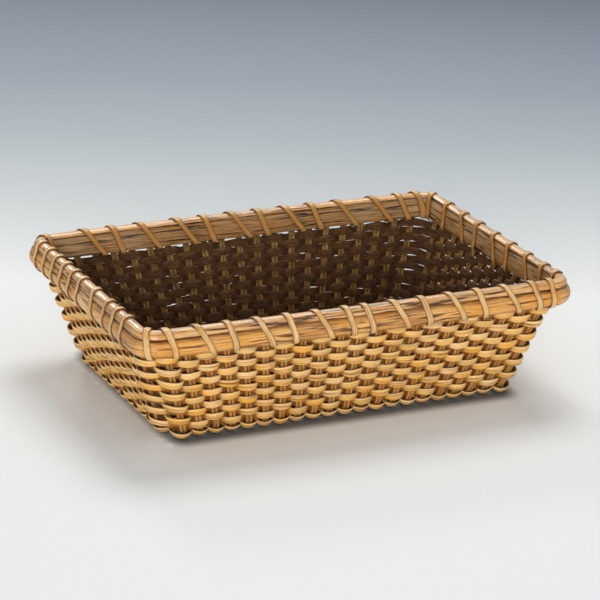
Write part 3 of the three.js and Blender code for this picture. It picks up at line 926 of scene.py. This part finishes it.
def strip_point(wide, high):
    """A point of the top strip, from -1 at its inner edge to 1 at its outer one."""
    return inner + (wide + 1) * STRIP_WIDTH / 2, STRIP_BOTTOM + high * STRIP_HEIGHT


pole_outline = [pole_point(step / POLE_STEPS) for step in range(POLE_STEPS + 1)]
inner_outline = rounded([(-HOOP_FACE, -HOOP_HALF), (-HOOP_FACE, HOOP_HALF),
                         (inner, HOOP_HALF), (inner, -HOOP_HALF)])
strip_outline = rounded([strip_point(*spot) for spot in (
    (-1, 0), (1, 0), (1, 0.35), (0.45, 1.05), (-0.45, 1.05), (-1, 0.35))])
print("rim reaches", round((WALL_REACH - inner) / MM, 1), "mm across")

# %% [markdown]
# The hoops follow the walls' plan at the height of their middle. Points at even steps
# could draw that, but the corners turn sharply, so they get more. The section curve is
# removed once its hoop is a mesh.

# %% Course of the hoops
CORNER_STEPS, SIDE_STEPS = 16, 3
HOOP_STEPS, HOOP_SHIFT = 2, 3.7


def rim_places():
    """Places all round the rim, close together at the corners."""
    first_corner, half_way = int(LAST_LONG), AROUND // 2
    corner_gaps = (first_corner, half_way - first_corner - 1)
    places = []
    for place in range(AROUND):
        steps = CORNER_STEPS if place % half_way in corner_gaps else SIDE_STEPS
        places += [place + step / steps for step in range(steps)]
    return places


def hoop(name, node, outline, finish):
    """A closed strand round the rim with a section of its own."""
    outline = [leaning(out, up) for out, up in outline]
    points = [(wall_point(place, HOOP_MIDDLE_Z), 0, 1.0) for place in rim_places()]
    drawn = section(name + "_section", outline)
    piece = strand(name, points, drawn, True, HOOP_STEPS)
    keep_grain(piece, outline, len(name) * HOOP_SHIFT, True)
    finished(piece, finish, node)
    bpy.data.objects.remove(drawn)
    print(name, len(piece.data.polygons), "faces")


print(len(rim_places()), "points round the rim")

# %% [markdown]
# The pole and the strips carry the peel of the rattan: long streaks of brown in a tan
# skin, with a stronger shine than the woven cane. They could share one finish, but the
# inner strip is browner and the top one glossier, so each gets its own tones.

# %% Hoops
# The pole gets painted shade along both edges, and the top strip a painted highlight on its upper
# edge and painted shade on its lower one.
pole_finish = cane_finish(
    "split_pole", [rgb(236, 176, 96), rgb(244, 196, 134), rgb(222, 150, 58), rgb(206, 144, 78)],
    rgb(96, 46, 6), 0.44, fibre=1.3, coat=0.35, coarse=1.8, painted_outline_shade=0.8, drift=0.6)
strip_finish = cane_finish(
    "flat_strip", [rgb(222, 162, 94), rgb(206, 140, 74), rgb(230, 174, 118), rgb(176, 118, 62)],
    rgb(76, 36, 12), 0.36, fibre=1.5, coat=0.7, coarse=1.8, painted_edge_light_shade=0.14, drift=0.6)
inner_finish = cane_finish(
    "inner_strip", [rgb(172, 122, 66), rgb(152, 102, 50), rgb(178, 138, 92)],
    rgb(60, 34, 12), 0.5, fibre=1.7, coat=0.25, coarse=1.5, drift=0.6)
hoop("outer_pole", "outer_hoop", pole_outline, pole_finish)
hoop("inner_band", "inner_hoop", inner_outline[::-1], inner_finish)
hoop("top_band", "top_strip", strip_outline, strip_finish)

# %% [markdown]
# Flat cane binds the rim: it climbs the inner strip, crosses the top and runs down the
# pole to the next gap between the stakes. A curve with a section would twist where the
# cane turns over the edges, so its middle line is worked out by a formula that also says
# which way its face looks. Each winding starts at one corner and ends at the next.

# %% Route of the lashing
CANE_WIDTH, CANE_THICKNESS = 5.4 * MM, 1.0 * MM
INNER_SLANT, TOP_SLANT = 0.42, 0.16
OVER_TOP = INNER_SLANT + TOP_SLANT
CORNER_HASTE = 0.2
LOWEST_POLE_STEP, TOP_POLE_STEP, FINE_STEPS = 1, 13, 3


def lashing_route():
    """One turn round the rim's outline: out, up, facing out, facing up and travel."""
    route = [(HOOP_FACE, -HOOP_HALF, 0.3, -1, 0),
             (inner, -HOOP_HALF, -0.8, -0.9, 0.01),
             (inner, -HOOP_HALF * 0.4, -1, 0, INNER_SLANT * 0.32),
             (inner, HOOP_HALF * 0.4, -1, 0, INNER_SLANT * 0.64),
             (*strip_point(-1, 0.35), -0.9, 0.4, INNER_SLANT),
             (*strip_point(-0.45, 1), -0.4, 0.9, INNER_SLANT + TOP_SLANT / 3),
             (*strip_point(0.45, 1), 0.4, 0.9, OVER_TOP - TOP_SLANT / 3)]
    for step in range(TOP_POLE_STEP, LOWEST_POLE_STEP - 1, -2):
        turn = step / POLE_STEPS
        out, up = pole_point(turn)
        angle = math.pi * (turn - 0.5)
        route.append((out, up, math.cos(angle), math.sin(angle), 1 - turn * (1 - OVER_TOP)))
    return route


def smooth_between(before, here, after, last, share):
    """A point on the smooth line that passes four numbers, between the middle two."""
    return here + 0.5 * share * (after - before + share * (
        2 * before - 5 * here + 4 * after - last + share * (3 * (here - after) + last - before)))


def lashing_lines(gaps, last_travel):
    """The cane's middle line as place, out, up, facing out and facing up."""
    knots = []
    for loop, gap in enumerate(gaps):
        last = loop + 1 == len(gaps)
        travel = last_travel if last else gaps[loop + 1] - gap
        for out, up, face_out, face_up, share in lashing_route():
            if last:
                share = share ** CORNER_HASTE
            knots.append((gap + share * travel, out, up, face_out, face_up))
    knots = np.array(knots)
    lines = []
    for index in range(len(knots) - 1):
        around = knots[[max(index - 1, 0), index, index + 1, min(index + 2, len(knots) - 1)]]
        lines += [smooth_between(*around, step / FINE_STEPS) for step in range(FINE_STEPS)]
    return np.array(lines + [knots[-1]])


print("each loop has", len(lashing_route()), "knots")

# %% [markdown]
# The cane is first wound as a sheet. It could be drawn with its thickness at once, but
# Solidify adds that along the normals, which turn with the sheet, and Bevel then rounds
# the edges. The normals are made to face out before that.

# %% Thickness of the cane
CROWN, EDGE_ROUND = 0.25 * MM, 0.25 * MM
SHARP_EDGE = math.radians(50)


def give_thickness(piece):
    """Turns the wound sheet into a strip with rounded edges."""
    bpy.ops.object.mode_set(mode="EDIT")
    bpy.ops.mesh.select_all(action="SELECT")
    bpy.ops.mesh.normals_make_consistent(inside=False)
    bpy.ops.object.mode_set(mode="OBJECT")
    thick = piece.modifiers.new("thickness", "SOLIDIFY")
    thick.thickness = CANE_THICKNESS - CROWN
    thick.offset = 1
    bpy.ops.object.modifier_apply(modifier=thick.name)
    edge = piece.modifiers.new("round_edges", "BEVEL")
    edge.width = EDGE_ROUND
    edge.segments = 2
    edge.limit_method = "ANGLE"
    edge.angle_limit = SHARP_EDGE
    bpy.ops.object.modifier_apply(modifier=edge.name)
    bpy.ops.object.shade_smooth()

# %% [markdown]
# A bend tool could wind the sheet, but none keeps a flat strip tight on a turning
# outline. So a grid as wide as the cane is added, and its cross lines are laid on the
# route one after the other, slightly crowned. Where the cane faces into the basket it is
# told to look darker: painted shade.

# %% Winding
ACROSS = 5
PROBE = 0.05
LASHING_GAP = 0.3 * MM
SHADE_FROM, SHADE_RISE, SHADE_MOST = 0.3, 0.6, 0.5
# The binding cane gets painted shade along both edges, and where it faces into the basket a darker
# gap colour as painted shade.
lashing_finish = cane_finish(
    "binding_cane", [rgb(228, 182, 118), rgb(216, 162, 88), rgb(234, 190, 132)],
    rgb(112, 66, 24), 0.4, fibre=0.7, coat=0.4, painted_outline_shade=0.9, gap=rgb(180, 124, 56))


def wound_cane(name, node, first, count, skipped, last_travel=1.0):
    """One wall's winding, from the gap first on. The last loop travels its own way."""
    gaps = [first + gap for gap in range(count) if gap not in skipped]
    lines = lashing_lines(gaps, last_travel)
    bpy.ops.object.select_all(action="DESELECT")
    bpy.ops.mesh.primitive_grid_add(
        x_subdivisions=ACROSS - 1, y_subdivisions=len(lines) - 1, size=1)
    piece = bpy.context.object
    piece.name = piece.data.name = name
    spots = corners(piece)
    order = np.lexsort((spots[:, 0].round(5), spots[:, 1].round(5)))
    placed, grain = np.zeros_like(spots), np.zeros_like(spots)
    edge, shade = np.zeros(len(spots)), np.zeros(len(spots))
    run, before = 0.0, None
    for line, (place, out, up, face_out, face_up) in enumerate(lines):
        middle = rim_point(place, out, up)
        per_place = (rim_point(place + PROBE, out, up) - middle).length / PROBE
        run += (middle - before).length if before else 0
        before = middle
        for column in range(ACROSS):
            vertex = order[line * ACROSS + column]
            way = column / (ACROSS - 1) * 2 - 1
            lift = LASHING_GAP + CROWN * (1 - way * way)
            placed[vertex] = rim_point(place + way * CANE_WIDTH / 2 / per_place,
                                       out + face_out * lift, up + face_up * lift)
            grain[vertex] = (run, way * CANE_WIDTH / 2, first)
            edge[vertex] = -way
            # Painted shade on the cane where it faces into the basket.
            shade[vertex] = min(max((-face_out - SHADE_FROM) * SHADE_RISE, 0), SHADE_MOST)
    piece.data.vertices.foreach_set("co", placed.ravel())
    keep(piece, "grain", grain, "FLOAT_VECTOR")
    keep(piece, "edge", edge)
    keep(piece, "depth", shade)
    piece.data.update()
    give_thickness(piece)
    finished(piece, lashing_finish, node)
    print(name, len(gaps), "loops,", len(piece.data.polygons), "faces")

# %% [markdown]
# One long cane could go all the way round, but a winding for each wall is easier to
# check and to mend. Each passes over some of the gaps between the stakes, as on the real
# rim, and its last loop reaches the corner in its own time.

# %% Lashing
FRONT_SKIPPED, RIGHT_SKIPPED = [2, 5, 8, 12, 15, 18], [3, 6, 9]
BACK_SKIPPED, LEFT_SKIPPED = [3, 5, 8, 11, 14, 16, 19], [7]
FRONT_END, LEFT_END = 0.55, 1.13
near_corner, far_corner = LAST_LONG + 0.5, LAST_LONG + SHORT_STAKES + 0.5
wound_cane("binding_front", "lashing_front", -near_corner, LONG_STAKES, FRONT_SKIPPED, FRONT_END)
wound_cane("binding_right", "lashing_right", near_corner, SHORT_STAKES, RIGHT_SKIPPED)
wound_cane("binding_back", "lashing_back", far_corner, LONG_STAKES, BACK_SKIPPED)
wound_cane("binding_left", "lashing_left", -far_corner, SHORT_STAKES, LEFT_SKIPPED, LEFT_END)

# %% [markdown]
# The section curves were only tools. They could stay hidden, but then they would count
# as pieces, so they go.

# %% Remove the section tools
for tool in (cane_section, rod_section, base_section):
    bpy.data.objects.remove(tool)
